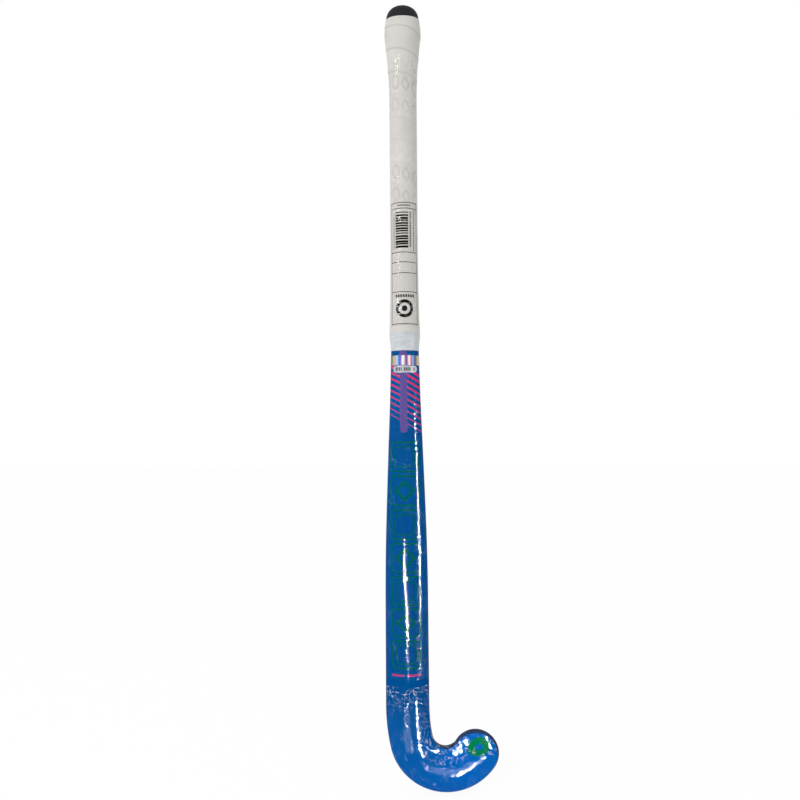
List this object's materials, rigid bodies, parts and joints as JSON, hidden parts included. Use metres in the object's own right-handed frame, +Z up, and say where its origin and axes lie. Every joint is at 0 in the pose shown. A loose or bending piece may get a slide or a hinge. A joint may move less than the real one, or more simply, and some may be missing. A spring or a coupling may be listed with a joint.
{
  "type": "field hockey stick",
  "caption": "Field hockey stick: bowed composite shaft with a hooked head, flat playing face and crowned back, flared cushion grip with end cap, retail label and clear shrink film.",
  "frame": {"origin": "under the middle of the stick's box, at the lowest point of the head", "axes": "+Z up the shaft from head to handle, +X towards the toe, +Y the way the flat playing face looks"},
  "size_m": [0.1305, 0.0458, 0.8894],
  "materials": {
    "lacquered_composite": "blue lacquer over fibre composite, gloss",
    "bare_composite": "bare carbon and glass laminate",
    "foam": "rigid foam",
    "cap_rubber": "moulded black rubber, satin",
    "adhesive_tape": "double-sided tape",
    "grip": "white polyurethane cushion grip, matt",
    "finishing_tape": "white tape",
    "foil": "diffraction foil",
    "label": "printed paper",
    "film": "clear shrink film"
  },
  "bodies": {
    "root": {"outer_laminate": "lacquered_composite", "head_core": "foam", "left_tube": "bare_composite", "right_tube": "bare_composite", "handle_plug": "foam", "end_cap": "cap_rubber", "grip_underlay": "adhesive_tape", "cushion_grip": "grip", "finishing_tape": "finishing_tape", "hologram_band": "foil", "size_sticker": "foil", "retail_label": "label", "head_film": "film", "sleeve_film": "film"}
  },
  "joints": []
}
